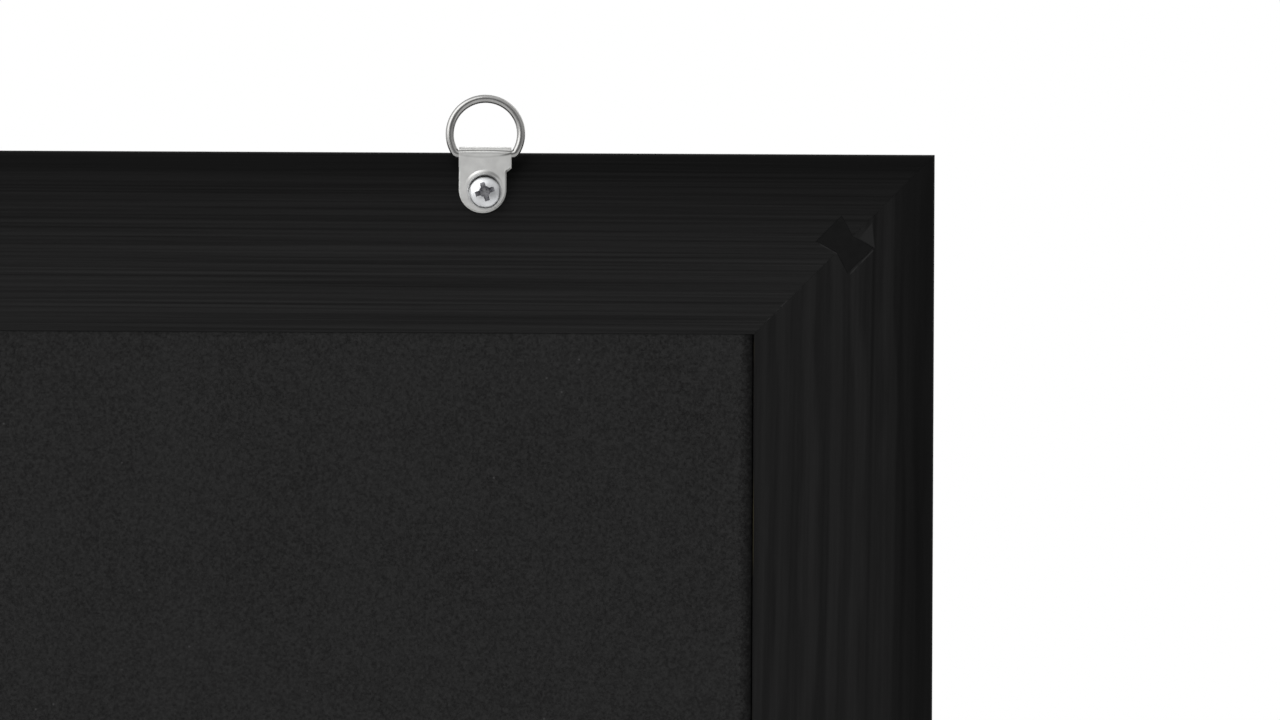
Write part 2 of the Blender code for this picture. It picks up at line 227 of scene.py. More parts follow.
# %% [markdown]
# ## Studio
# The board is black and the hardware is bright, and both have to read on white. The eye and
# glass see plain white past the board. Dull surfaces are lit by an even, plain level. Metal and
# lacquer see the white background too, but with a dark flag straight in front of and behind the
# board, where a photographer would stand: without it the lacquer has a flat grey veil, and the
# ring's wire has no dark line down its middle. What they see is a little brighter towards the
# top and one side, where the lamp behind the board stands. A second lamp stands in front.

# %% Surroundings
ROOM_DARK = 0.3
ROOM_FADE_START, ROOM_FADE_END = 0.97, 0.55
ROOM_LEVEL, ROOM_TILT = 0.87, (0.42, 0.25)
ROOM_PLAIN = 0.73

world = bpy.data.worlds.new("studio")
bpy.context.scene.world = world
light = Recipe(world)
direction = light.add("TexCoord").outputs["Generated"]
forwards = light.math("ABSOLUTE", light.parts(direction)["Y"])
fade = light.spread(forwards, ROOM_FADE_START, ROOM_FADE_END, ROOM_DARK, interpolation_type="SMOOTHSTEP")
room = light.product(fade, light.math("ADD", light.dot(direction, ROOM_TILT), ROOM_LEVEL))
ray = light.add("LightPath").outputs
lit = light.add("Mix", {"Factor": ray["Is Glossy Ray"], "A": ROOM_PLAIN, "B": room}).outputs["Result"]
seen = light.math("MAXIMUM", ray["Is Camera Ray"], ray["Is Transmission Ray"], lit)
backdrop = light.tree.nodes["Background"].inputs
light.feed(backdrop["Strength"], seen)
light.feed(backdrop["Color"], (1, 1, 1, 1))

# %% Lamps
AIM_BEHIND = Vector((0, 0, TOP - 0.1))
AIM_FRONT = Vector((0, 0, MIDDLE))


def softbox(name, level, distance, size, aside, up, behind):
    """A square lamp aimed at the board. level is the brightness that it gives a white card.

    A lamp of power P sends P / (pi d^2) straight ahead, and a white card looks as bright as
    white when that is pi, so the power is level times pi^2 d^2.
    """
    data = bpy.data.lights.new(name, "AREA")
    data.shape = "SQUARE"
    data.size = size
    data.energy = level * (math.pi * distance) ** 2
    turn_aside, turn_up = math.radians(aside), math.radians(up)
    level_way, side = math.cos(turn_up), 1 if behind else -1
    across, back = math.sin(turn_aside) * level_way, side * math.cos(turn_aside) * level_way
    way = Vector((across, back, math.sin(turn_up)))
    lamp = bpy.data.objects.new(name, data)
    lamp.location = (AIM_BEHIND if behind else AIM_FRONT) + distance * way
    lamp.rotation_euler = way.to_track_quat("Z", "Y").to_euler()
    bpy.context.scene.collection.objects.link(lamp)


softbox("lamp_behind", level=0.5, distance=2.4, size=2.4, aside=48, up=42, behind=True)
softbox("lamp_front", level=0.6, distance=2.4, size=2.0, aside=-30, up=33, behind=False)

# %% Floor
FLOOR_RADIUS, FLOOR_GAP = 5.0, 0.5 * MM
FLOOR_WHITE_FROM, FLOOR_WHITE_AT = 0.5, 3.0

bpy.ops.mesh.primitive_circle_add(vertices=96, radius=FLOOR_RADIUS, fill_type="NGON", location=(0, 0, 0))
floor = bpy.context.active_object
floor.name = "floor"
floor.data.transform(Matrix.Translation((0, 0, BOTTOM - FLOOR_GAP)))
pale = Finish("pale_floor")
pale.set(Base_Color=grey(0.86), Roughness=0.9)
away = pale.add("VectorMath", {0: pale.mapped(pale.place, scale=(1, 1, 0))}, operation="LENGTH")
far = pale.spread(away.outputs["Value"], FLOOR_WHITE_FROM, FLOOR_WHITE_AT, 0.45, 1.0)
floor_ray = pale.add("LightPath").outputs
looking = (floor_ray[f"Is {kind} Ray"] for kind in ("Camera", "Glossy", "Transmission"))
looked_at = pale.math("MAXIMUM", *looking)
shining = pale.add("Emission", {"Color": grey(1.0), "Strength": 1.0})
shaders = {0: pale.product(far, looked_at), 1: pale.shader.outputs["BSDF"], 2: shining.outputs["Emission"]}
mixed = pale.add("MixShader", shaders)
pale.feed(pale.tree.nodes["Material Output"].inputs["Surface"], mixed.outputs["Shader"])
floor.data.materials.append(pale.material)

# %% [markdown]
# ## Surfaces on grids
# Each new piece is a surface with two parameters: rows along one, columns along the other.
# The helpers below number the quads between rows and columns, build the mesh, cut one mesh out
# of another and hand the finished piece to the body that it moves with.

# %% Grid helpers
def grid_faces(rows, columns, round_rows=False, round_columns=False):
    """Corner numbers of the quads between neighbouring rows and columns of a grid of points."""
    row = np.arange(rows if round_rows else rows - 1)[:, None]
    column = np.arange(columns if round_columns else columns - 1)[None, :]
    row, row_after = row * columns, (row + 1) % rows * columns
    column_after = (column + 1) % columns
    corners = row + column, row + column_after, row_after + column_after, row_after + column
    return np.stack(np.broadcast_arrays(*corners), axis=-1).reshape(-1, 4)


def new_piece(name, skin, faces):
    """An object of given points and faces, put in the scene."""
    mesh = bpy.data.meshes.new(name)
    mesh.from_pydata(np.asarray(skin, float).reshape(-1, 3).tolist(), [], faces)
    piece = bpy.data.objects.new(name, mesh)
    bpy.context.scene.collection.objects.link(piece)
    return piece


def close_up(piece, distance=0.0005 * MM):
    """Merges the doubled points at seams and poles and turns every face outwards."""
    cage = bmesh.new()
    cage.from_mesh(piece.data)
    bmesh.ops.remove_doubles(cage, verts=cage.verts, dist=distance)
    bmesh.ops.recalc_face_normals(cage, faces=cage.faces)
    cage.to_mesh(piece.data)
    cage.free()


def tube(name, rings, finishes=(), looks=None):
    """Closed skin over rings of points (rows, columns, 3), with a flat cap on each end.

    looks gives the number of the finish for each strip of faces along the tube.
    """
    rows, columns = rings.shape[:2]
    faces = grid_faces(rows, columns, round_columns=True).tolist()
    faces.append(list(range(columns)))
    faces.append(list(range((rows - 1) * columns, rows * columns)))
    piece = new_piece(name, rings, faces)
    for finish in finishes:
        piece.data.materials.append(finish.material)
    if looks is not None:
        piece.data.polygons.foreach_set("material_index", np.append(np.tile(looks, rows - 1), [0, 0]))
    close_up(piece)
    return piece


def settle(piece):
    """Puts the result of the modifiers into the mesh."""
    graph = bpy.context.evaluated_depsgraph_get()
    mesh = bpy.data.meshes.new_from_object(piece.evaluated_get(graph))
    piece.modifiers.clear()
    piece.data = mesh
    mesh.name = piece.name


def carve(piece, cutter):
    """Cuts one closed piece out of another, with the cutter's finish, and throws the cutter away."""
    modifier = piece.modifiers.new("Cut", "BOOLEAN")
    modifier.operation = "DIFFERENCE"
    modifier.solver = "EXACT"
    if cutter.data.materials:
        modifier.material_mode = "TRANSFER"
    modifier.object = cutter
    settle(piece)
    bpy.data.objects.remove(cutter, do_unlink=True)


SHARP = math.radians(32)


def hand_over(piece, finish, body, node):
    """Gives a finished piece its look, hangs it on its body's empty and hides the solid that it stands for.
    """
    if not piece.data.materials:
        piece.data.materials.append(finish.material)
    piece.data.shade_smooth()
    piece.data.set_sharp_from_angle(angle=SHARP)
    weighted = piece.modifiers.new("Flats", "WEIGHTED_NORMAL")
    weighted.keep_sharp = True
    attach(piece, body)
    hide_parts(node)
    print(f"{piece.name}: {len(piece.data.polygons)} faces")


def points(*parts):
    """Arrays of x, of y and so on, put together as an array of points."""
    return np.stack(parts, axis=-1)


def arc(centre, radius, start, end, steps):
    """Points on a circle between two angles, as an array of (steps + 1, 2)."""
    angles = np.linspace(start, end, steps + 1)
    return np.array(centre) + radius * points(np.cos(angles), np.sin(angles))


def turned(flat, angle):
    """Flat points turned counterclockwise about the origin."""
    cos, sin = math.cos(angle), math.sin(angle)
    return points(flat[:, 0] * cos - flat[:, 1] * sin, flat[:, 0] * sin + flat[:, 1] * cos)


def at_depth(flat, y):
    """Points (x, z) of the back, set at one depth."""
    return points(flat[:, 0], np.full(len(flat), y), flat[:, 1])


def at_height(flat, height):
    """Points (x, y) on the strap's own axes, lifted to one height."""
    return points(flat[:, 0], flat[:, 1], np.full(len(flat), height))


def drawn_in(outline, distance):
    """A closed counterclockwise outline moved inwards by a distance.

    Each corner goes along the sum of its two side normals, divided by one plus their dot
    product, which keeps both sides parallel to themselves.
    """
    along = np.roll(outline, -1, axis=0) - outline
    along = along / np.linalg.norm(along, axis=1, keepdims=True)
    after = points(-along[:, 1], along[:, 0])
    before = np.roll(after, 1, axis=0)
    share = distance / (1 + (before * after).sum(axis=1))
    return outline + (before + after) * share[:, None]


# %% [markdown]
# ## Lacquered wood
# The frame is softwood under a thin coat of black lacquer. The coat is too thin to hide the
# wood: hard winter rings stand proud and shine a little more than the soft wood between them.
# Rails show the rings edge on, as fine straight lines a millimetre or so apart, and the
# stiles show them as broad wavy bands. Both come from one recipe with other numbers: a wave
# across the grain that noise pulls out of true, plus short streaks for the open pores.

# %% Lacquer
# Depths from the back over which the painted shade of the outer strip fades out, so that the front isn't
# darkened.
BACK_FROM, BACK_AT = -8 * MM, -4 * MM
PORE_LENGTH, PORE_GAP = 6 * MM, 0.3 * MM
DARK_GRAIN, LIGHT_GRAIN = 0.45, 1.55
# Painted highlight along part of the mitre near the panel, as of a raised sliver of lacquer catching the
# light: its width, where it starts and ends, how soft its ends are, and its tone.
MITRE_GLINT_WIDTH, MITRE_GLINT_FROM, MITRE_GLINT_TO, MITRE_GLINT_SOFT, MITRE_GLINT_TONE = 0.5 * MM, 29 * MM, 37 * MM, 1 * MM, 2.7
# Painted highlights along two edges beside each key: their width and tone.
KEY_GLINT_WIDTH, KEY_GLINT_TONE = 0.42 * MM, 2.6


def lacquered_wood(name, upright, lean, ring, line, share, tone, edge, dark_ring=None, patch=None):
    """Black lacquer over grain that runs along X, or along Z in an upright piece.

    Rings are a sine across the grain, sin(2 pi (distance / gap + wander * noise)), whose
    contrast follows a second noise. ring is (gap, length, wander), line is (gap, length) of the
    finer lines, share is the weight of rings, lines and pores. edge is (where the painted shade
    of the outer crowned strip starts to fade, where it ends, the share of the tone that it leaves,
    the power of the rise, depth of the relief); this shade stands for the strip turning away from
    the light, and is painted on the back only. dark_ring is the place of one dark ring and patch a
    triangle of smooth filler. A painted highlight runs along the mitre near the panel, as of a
    raised sliver of lacquer catching the light, and painted highlights run along two edges beside
    the key.
    """
    finish = Finish(name)
    wood = finish.mapped(finish.place, rotation=(0, (QUARTER if upright else 0) + lean, 0))
    across = finish.parts(wood)["Z"]

    def streaks(length, gap, detail=2.0, low=0.32, high=0.68):
        drawn_out = finish.mapped(wood, scale=(1 / length, 1 / gap, 1 / gap))
        return finish.spread(finish.noise(drawn_out, 1.0, detail), low, high)

    ring_gap, ring_length, wander = ring
    pulled = finish.product(streaks(ring_length, 2.2 * ring_gap), wander)
    phase = finish.math("ADD", finish.math("DIVIDE", across, ring_gap), pulled)
    wave = finish.spread(finish.math("SINE", finish.product(phase, TURN)), -0.55, 0.55, -1.0, 1.0)
    contrast = finish.spread(streaks(1.4 * ring_length, 1.3 * ring_gap), 0.0, 1.0, 0.25, 1.0)
    rings = finish.spread(finish.product(wave, contrast), -1.0, 1.0)
    parts = rings, streaks(line[1], line[0], detail=3.0), streaks(PORE_LENGTH, PORE_GAP)
    shade = finish.math("ADD", *(finish.product(*pair) for pair in zip(parts, share)))
    colour = finish.blend(shade, grey(tone * DARK_GRAIN), grey(tone * LIGHT_GRAIN))

    from_side, from_end = from_edges(finish)
    if dark_ring is not None:
        near_line = finish.spread(finish.distance(across, dark_ring), RING_CORE, RING_REACH, 1.0, 0.0)
        weight = finish.spread(from_end, RING_FADE_FROM, RING_FADE_TO, RING_DARK, RING_FAINT)
        colour = finish.blend(finish.product(weight, near_line), colour, grey(tone * RING_TONE))
    if patch:
        smooth = inside(finish, patch, FILLER_SOFT)
        colour = finish.blend(smooth, colour, grey(tone * FILLER_TONE))

    own, other = (from_side, from_end) if upright else (from_end, from_side)
    # Painted highlight along part of the mitre, as of a raised sliver of lacquer catching the light.
    mitre_glint = finish.product(
        finish.spread(finish.distance(own, other), MITRE_GLINT_WIDTH, 0.1 * MITRE_GLINT_WIDTH),
        streaks(1.6 * MM, 1 * MM, low=0.5, high=0.6),
        finish.spread(own, MITRE_GLINT_FROM, MITRE_GLINT_FROM + MITRE_GLINT_SOFT),
        finish.spread(own, MITRE_GLINT_TO, MITRE_GLINT_TO - MITRE_GLINT_SOFT),
    )
    colour = finish.blend(mitre_glint, colour, grey(tone * MITRE_GLINT_TONE))
    # Painted highlights along two edges beside the key, broken up by noise.
    corner = finish.add("CombineXYZ", {"X": from_side, "Z": from_end}).outputs[0]
    broken = streaks(3 * MM, 1.5 * MM, low=0.35, high=0.5)
    for start, end in KEY_EDGE_GLINTS:
        key_glint = finish.product(beside(finish, corner, start, end, KEY_GLINT_WIDTH), broken)
        colour = finish.blend(key_glint, colour, grey(tone * KEY_GLINT_TONE))

    # Painted shade: the crowned outer strip of the back is darkened towards the outer edge, as if it turned
    # away from the light; the front is left out.
    front = finish.spread(finish.parts(finish.place)["Y"], BACK_AT, BACK_FROM)
    rise = finish.math("POWER", finish.spread(own, edge[0], edge[1]), edge[3])
    strip_shade_factor = finish.math("MAXIMUM", front, finish.spread(rise, 0.0, 1.0, edge[2], 1.0))
    colour = finish.blend(strip_shade_factor, grey(0.0), colour)
    finish.coat(colour, finish.spread(shade, 0.0, 1.0, *LACQUER_ROUGH), LACQUER_GLOSS)
    finish.relief(shade, edge[4])
    return finish


def from_edges(finish):
    """Distances from the nearer side and from the nearer end of the board."""
    place = finish.parts(finish.place)
    from_side = finish.math("SUBTRACT", WIDTH / 2, finish.math("ABSOLUTE", place["X"]))
    return from_side, finish.math("SUBTRACT", HEIGHT / 2, finish.distance(place["Z"], MIDDLE))


def beside(finish, vector, start, end, width):
    """One on the line from start to end, fading to zero at half a width from it."""
    way = np.subtract(end, start)
    length = float(np.hypot(*way))
    way = way / length
    normal = np.array([-way[1], way[0]])
    off = finish.distance(finish.dot(vector, normal), float(normal @ start))
    run = finish.math("SUBTRACT", finish.dot(vector, way), float(way @ start))
    ends = finish.spread(run, 0.0, width), finish.spread(run, length, length - width)
    return finish.product(finish.spread(off, width / 2, 0.0), *ends)


def inside(finish, corners, soft):
    """One within a triangle of the back and zero outside: the least of its three distances."""
    middle = np.mean(corners, axis=0)
    least = None
    for first, second in zip(corners, corners[1:] + corners[:1]):
        side = np.subtract(second, first)
        normal = np.array([-side[1], side[0]]) / np.hypot(*side)
        if normal @ (middle - first) < 0:
            normal = -normal
        distance = finish.math("SUBTRACT", finish.dot(finish.place, normal), float(normal @ first))
        least = distance if least is None else finish.math("MINIMUM", least, distance)
    return finish.spread(least, -soft / 2, soft / 2)


# %% Wood finishes
LACQUER_GLOSS, LACQUER_ROUGH = 0.074, (0.62, 0.56)
RAIL_TONE, STILE_TONE, FILLER_TONE = 0.0095, 0.0093, 1.48
STILE_LEAN = math.radians(0.8)
RAIL_LEAN = math.radians(0.15)
BARE_WOOD = (0.036, 0.031, 0.015, 1.0)
DARK_RING_X, DARK_RING_Z = -0.18684, -0.0248
RING_FADE_FROM, RING_FADE_TO = 48 * MM, 62 * MM
RING_DARK, RING_FAINT, RING_TONE = 0.5, 0.25, 0.1
RING_CORE, RING_REACH = 0.12 * MM, 0.6 * MM
FILLER = [(-0.18619, -0.02589), (-0.1835, -0.02928), (-0.18684, -0.03135)]
FILLER_SOFT = 0.25 * MM
# Edges beside each key that get a painted highlight, each from a start to an end, in distances from the
# nearer side and the nearer end.
KEY_EDGE_GLINTS = [
    ((25.3 * MM, 19.6 * MM), (20.5 * MM, 22.3 * MM)),
    ((13.4 * MM, 20.9 * MM), (18.6 * MM, 26.3 * MM)),
]

lean_z = QUARTER + STILE_LEAN
dark_ring = -DARK_RING_X * math.sin(lean_z) + DARK_RING_Z * math.cos(lean_z)
rail_grain = ((1.5 * MM, 160 * MM, 1.4), (0.7 * MM, 170 * MM), (0.25, 0.85, 0.12))
stile_grain = ((5.3 * MM, 70 * MM, 0.8), (0.8 * MM, 60 * MM), (0.43, 0.26, 0.1))
# Painted shade of the outer strip, then the depth of the grain relief, for rails and stiles.
rail_edge = (3.5 * MM, 25 * MM, 0.08, 0.54, 0.045 * MM)
stile_edge = (5.0 * MM, 11.5 * MM, 0.42, 1.0, 0.012 * MM)
rail_wood = lacquered_wood("rail_lacquer", False, RAIL_LEAN, *rail_grain, RAIL_TONE, rail_edge)
left_wood = lacquered_wood(
    "left_stile_lacquer", True, STILE_LEAN, *stile_grain, STILE_TONE, stile_edge, dark_ring, FILLER
)
right_wood = lacquered_wood("right_stile_lacquer", True, -STILE_LEAN, *stile_grain, STILE_TONE, stile_edge)

# %% [markdown]
# The rebate is cut after the wood is dyed black, and the lacquer misses its sharp back edge in
# places, so a hair of bare wood shows beside the panel.

# %% Bare edge of the rebate
bare_edge = Finish("rebate_edge")
edge_wood = bare_edge.noise(bare_edge.mapped(bare_edge.place, scale=(30, 30, 30)), 1.0, detail=4.0)
worn_edge = bare_edge.spread(edge_wood, 0.45, 0.6)
bare_edge.coat(bare_edge.blend(worn_edge, grey(0.006), BARE_WOOD), 0.7, LACQUER_GLOSS)

rebate_black = Finish("rebate_black")
sawn = rebate_black.cloud(1.2, detail=3.0)
sawn_tone = rebate_black.blend(sawn, grey(0.008), grey(0.03))
rebate_black.coat(sawn_tone, rebate_black.spread(sawn, 0.3, 0.7, 0.8, 0.9), 0.05)
rebate_black.relief(sawn, 0.03 * MM)

# %% [markdown]
# ## Frame
# A moulding is a section pushed along a line. Its ends are mitred by letting the length of
# each line of the section shrink by its distance from the outer edge: the line at distance d
# runs from d - L/2 to L/2 - d, so all four ends meet at 45 degrees. The last row of points is
# drawn in a little, which leaves the fine V that a glued mitre shows.

# %% Section of the moulding
BACK_EDGE_RADIUS = 1.2 * MM
FRONT_EDGE_RADIUS = 4 * MM
SIGHT_EDGE_RADIUS = 3 * MM
ARRIS = 0.16 * MM


def moulding_section():
    """Section as (inwards from the outer edge, backwards from the front), counterclockwise.

    The outer strip of the back is an arc of radius (w^2 + f^2) / 2f that falls f over w, and
    each edge is an arc that touches its two sides.
    """
    reach = CROWN_RADIUS - BACK_EDGE_RADIUS
    across = CROWN_WIDTH - BACK_EDGE_RADIUS
    edge_centre = (BACK_EDGE_RADIUS, math.sqrt(reach**2 - across**2) - CROWN_RADIUS)
    meeting = QUARTER + math.asin(across / reach)
    sight = BACK_WIDTH + LIP_WIDTH
    front_centre = (FRONT_EDGE_RADIUS, FRONT_EDGE_RADIUS - DEPTH)
    sight_centre = (sight - SIGHT_EDGE_RADIUS, SIGHT_EDGE_RADIUS - DEPTH)
    return np.concatenate(
        [
            arc((CROWN_WIDTH, -CROWN_RADIUS), CROWN_RADIUS, QUARTER, meeting, 24),
            arc(edge_centre, BACK_EDGE_RADIUS, meeting, math.pi, 8)[1:],
            arc(front_centre, FRONT_EDGE_RADIUS, math.pi, 3 * QUARTER, 12),
            arc(sight_centre, SIGHT_EDGE_RADIUS, 3 * QUARTER, TURN, 10),
            [(sight, -REBATE_DEPTH), (BACK_WIDTH, -REBATE_DEPTH)],
            [(BACK_WIDTH, -ARRIS), (BACK_WIDTH - ARRIS, 0)],
        ]
    )


section = moulding_section()
section_looks = np.zeros(len(section), dtype=np.int32)
section_looks[-4:-2] = 1
section_looks[-2] = 2
print(f"section of {len(section)} points")

# %% Members
MITRE_PLAY = 0.006 * MM
MITRE_V = 0.03 * MM
STATIONS = 25


def member(name, finish, length, base, along, inwards):
    """Moulding along a line: point = base + along * a + inwards * d + backwards * y."""
    def ring(share, outline, shorter):
        reach = length / 2 - outline[:, 0] - shorter
        return (
            np.array(base)
            + np.outer(share * reach, along)
            + np.outer(outline[:, 0], inwards)
            + np.outer(outline[:, 1], (0, 1, 0))
        )

    tight = drawn_in(section, MITRE_V)
    rings = [ring(-1, tight, MITRE_PLAY)]
    rings += [ring(share, section, MITRE_PLAY + MITRE_V) for share in np.linspace(-1, 1, STATIONS)]
    rings += [ring(1, tight, MITRE_PLAY)]
    arris = finish if finish is rail_wood else bare_edge
    return tube(name, np.array(rings), (finish, rebate_black, arris), section_looks)


members = {
    "top_rail": (rail_wood, WIDTH, (0, 0, TOP), (1, 0, 0), (0, 0, -1)),
    "bottom_rail": (rail_wood, WIDTH, (0, 0, BOTTOM), (1, 0, 0), (0, 0, 1)),
    "left_stile": (left_wood, HEIGHT, (LEFT, 0, MIDDLE), (0, 0, 1), (1, 0, 0)),
    "right_stile": (right_wood, HEIGHT, (RIGHT, 0, MIDDLE), (0, 0, 1), (-1, 0, 0)),
}
frame_pieces = {node: member(f"{node}_moulding", *given) for node, given in members.items()}

# %% [markdown]
# ## Keys
# A bow-tie key is a double dovetail of wood driven into a pocket across the mitre, so that the
# joint can't open. The key is its outline carried down into the wood, with a small chamfer on
# top. The pocket is cut by the same outline made a hair larger, flared at the surface where a
# router leaves a worn edge.

# %% Keys and their pockets
KEY_LENGTH, KEY_END, KEY_WAIST = 9.8 * MM, 7.9 * MM, 5 * MM
KEY_DEPTH, KEY_SINK, KEY_CHAMFER = 10 * MM, 0.03 * MM, 0.04 * MM
POCKET_PLAY, POCKET_FLARE, POCKET_ABOVE = 0.02 * MM, 0.04 * MM, 1 * MM

key_wood = Finish("key_lacquer")
key_cloud = key_wood.cloud(0.5, detail=4.0)
key_tone = key_wood.blend(key_cloud, grey(0.003), grey(0.0075))
key_wood.coat(key_tone, key_wood.spread(key_cloud, 0.3, 0.7, 0.66, 0.6), 0.07)
key_wood.relief(key_cloud, 0.02 * MM)


def key_outline():
    """Bow tie with its long axis across the mitre, counterclockwise."""
    x, y, waist = KEY_LENGTH / 2, KEY_END / 2, KEY_WAIST / 2
    return np.array([(-x, -y), (0, -waist), (x, -y), (x, y), (0, waist), (-x, y)])


def key_body(name, middle, turn, levels):
    """The outline at several levels: each level is (grown by, y), and the stack makes a prism."""
    flats = [(turned(drawn_in(key_outline(), -growth), turn), y) for growth, y in levels]
    return tube(name, np.array([at_depth(middle + flat, y) for flat, y in flats]))


floor_y = -KEY_SINK - KEY_DEPTH
key_levels = [(0, floor_y), (0, -KEY_SINK - KEY_CHAMFER), (-KEY_CHAMFER, -KEY_SINK)]
pocket_levels = [
    (POCKET_PLAY, floor_y - POCKET_PLAY),
    (POCKET_PLAY, -POCKET_FLARE),
    (POCKET_PLAY + POCKET_FLARE + POCKET_ABOVE, POCKET_ABOVE),
]
for level_name, rail_name, level in (("upper", "top_rail", 1), ("lower", "bottom_rail", -1)):
    for side_name, side in SIDES.items():
        name = f"{level_name}_{side_name}_key"
        middle = (side * (WIDTH - BACK_WIDTH) / 2, MIDDLE + level * (HEIGHT - BACK_WIDTH) / 2)
        turn = -side * level * math.pi / 4
        for neighbour in (rail_name, f"{side_name}_stile"):
            carve(frame_pieces[neighbour], key_body("pocket", middle, turn, pocket_levels))
        key = key_body(name + "_inlay", middle, turn, key_levels)
        hand_over(key, key_wood, "board", name)

# %% [markdown]
# ## Panel
# The panel is thin board with a sprayed chalk coating, which dries to a fine, even grain like
# orange peel. Its sawn edge isn't perfectly straight, and the coating rounds it, so the slab is
# its edge profile carried round a slightly ragged outline.

# %% Chalk coating
# Painted shade on the panel beside each stile, as the stile's wall would cast it: where it starts, where it
# is darkest, the tone left there, and how far its edge wanders.
WALL_SHADE_FROM, WALL_SHADE_TO, WALL_SHADE_TONE, WALL_SHADE_WANDER = 3.2 * MM, 0.5 * MM, 0.04, 1.1 * MM
COAT_DARK, COAT_LIGHT = (0.0056, 0.00558, 0.00554, 1), (0.0195, 0.01945, 0.0194, 1)
MIST_TONE, SPECK_TONE = (0.024, 0.0245, 0.0245, 1), grey(0.042)

chalk = Finish("chalk_coating")
spray = chalk.mapped(chalk.place, scale=PER_MM)
peel = chalk.noise(spray, 1.6, detail=4.0, roughness=0.7)
mist = chalk.noise(spray, 0.045, detail=3.0)
speck_cells = chalk.add("TexVoronoi", {"Vector": spray, "Scale": 0.27}, feature="F1")
rare = chalk.spread(chalk.add("SeparateColor", {0: speck_cells.outputs["Color"]}).outputs[0], 0.86, 0.9)
near = chalk.spread(speck_cells.outputs["Distance"], 0.085, 0.03)
coat = chalk.blend(chalk.spread(peel, 0.34, 0.66), COAT_DARK, COAT_LIGHT)
coat = chalk.blend(chalk.spread(mist, 0.35, 0.7, 0.0, 0.14), coat, MIST_TONE)
coat = chalk.blend(chalk.product(rare, near), coat, SPECK_TONE)
# Painted shade on the panel beside each stile, darkest next to it, with an edge that wanders with the peel.
off_stile = chalk.math("SUBTRACT", from_edges(chalk)[0], BACK_WIDTH)
off_stile = chalk.math("ADD", off_stile, chalk.spread(peel, 0.3, 0.7, -WALL_SHADE_WANDER / 2, WALL_SHADE_WANDER / 2))
coat = chalk.blend(chalk.spread(off_stile, WALL_SHADE_TO, WALL_SHADE_FROM, WALL_SHADE_TONE, 1.0), grey(0.0), coat)
chalk.coat(coat, chalk.spread(peel, 0.3, 0.7, 0.82, 0.7), 0.12)
chalk.relief(peel, 0.07 * MM)

# %% Panel slab
SIDE_ROUND, END_ROUND, FACE_ROUND = 0.5 * MM, 0.03 * MM, 0.3 * MM
SIDE_RAGGED, END_RAGGED = 0.35 * MM, 0.02 * MM
FINE_BITE, BROAD_BITE = 0.5, 0.6
EDGE_PITCH = 0.45 * MM
TOP_PLAY, SIDE_PLAY = 0.01 * MM, 0.04 * MM


def ragged_outline(width, height, rng):
    """Rectangle sampled at an even pitch, each point moved in by a random amount of two sizes.

    The fine amount changes from point to point. The broad one is a running mean of eight draws.
    """
    across = np.linspace(-width / 2, width / 2, round(width / EDGE_PITCH) + 1)[:-1]
    up = np.linspace(-height / 2, height / 2, round(height / EDGE_PITCH) + 1)[:-1]
    bottom = points(across, np.full_like(across, -height / 2))
    right = points(np.full_like(up, width / 2), up)
    outline = np.concatenate([bottom, right, -bottom, -right])
    fine = rng.random(len(outline))
    broad = (rng.random(len(outline)) + np.roll(rng.random(len(outline)), 1)) / 2
    broad = sum(np.roll(broad, step) for step in range(4)) / 4
    rough = FINE_BITE * fine**3 + BROAD_BITE * broad**2
    inwards = rough[:, None] * np.array([2 * SIDE_RAGGED / width, 2 * END_RAGGED / height])
    return outline * (1 - inwards)


def slab(name, low, high, outline):
    """Edge profile, an elliptic quarter at each face, carried round the outline."""
    middle = (low + high) / 2
    corner = arc((0, 0), 1.0, 0, QUARTER, 5)
    levels = [(1 - x, low.y + FACE_ROUND * (1 - y)) for x, y in corner[::-1]]
    levels += [(1 - x, high.y - FACE_ROUND * (1 - y)) for x, y in corner]
    inset = np.array([2 * SIDE_ROUND / (high.x - low.x), 2 * END_ROUND / (high.z - low.z)])
    place = (middle.x, middle.z)
    return tube(name, np.array([at_depth(outline * (1 - share * inset) + place, y) for share, y in levels]))


inner = BACK_WIDTH + SIDE_PLAY
shown_low = Vector((LEFT + inner, panel_low.y, panel_low.z))
shown_high = Vector((RIGHT - inner, panel_high.y, TOP - BACK_WIDTH - TOP_PLAY))
panel_size = shown_high - shown_low
panel_outline = ragged_outline(panel_size.x, panel_size.z, np.random.default_rng(7))
panel = slab("chalk_panel_slab", shown_low, shown_high, panel_outline)
hand_over(panel, chalk, "board", "chalk_panel")

# %% [markdown]
# ## Hangers
# A hanger is a strip of zinc-plated sheet folded round the straight bar of a D-ring. Its two
# layers meet at a hole, where the front one is dished so that a pan head screw sits in it. The
# strap lies on the sloping edge of the frame, so everything is worked out on the strap's own
# axes, with the screw at the origin, and turned into place at the end.

# %% Axes of a hanger
joints = {joint["name"]: joint for joint in frame["joints"]}


def hanger_axes(side_name):
    """Matrix whose X runs right, Y up the strap and Z out of it, all seen from behind."""
    swivel = joints[f"{side_name}_strap_swivel"]
    out = Vector(swivel["axis"]).normalized()
    across = Vector((-1, 0, 0))
    up = out.cross(across)
    axes = Matrix((across, up, out)).transposed().to_4x4()
    return Matrix.Translation(Vector(swivel["pos_m"])) @ axes


print(hanger_axes("left"))

# %% [markdown]
# ## Bright metals
# Zinc on the strap is satin with the fine lines of the rolled strip. Nickel on the ring is
# close to a mirror. The screw is brighter zinc with the small dents of a heading press. The
# strap's zinc is darkened where shade is painted on its sheet, and the cross in the screw
# head gets a darker zinc as painted shade.

# %% Metal finishes
DULLER = 0.86
# Colour of the painted shade on the strap.
PAINTED_SHADE_TONE = grey(0.05, 0.03)


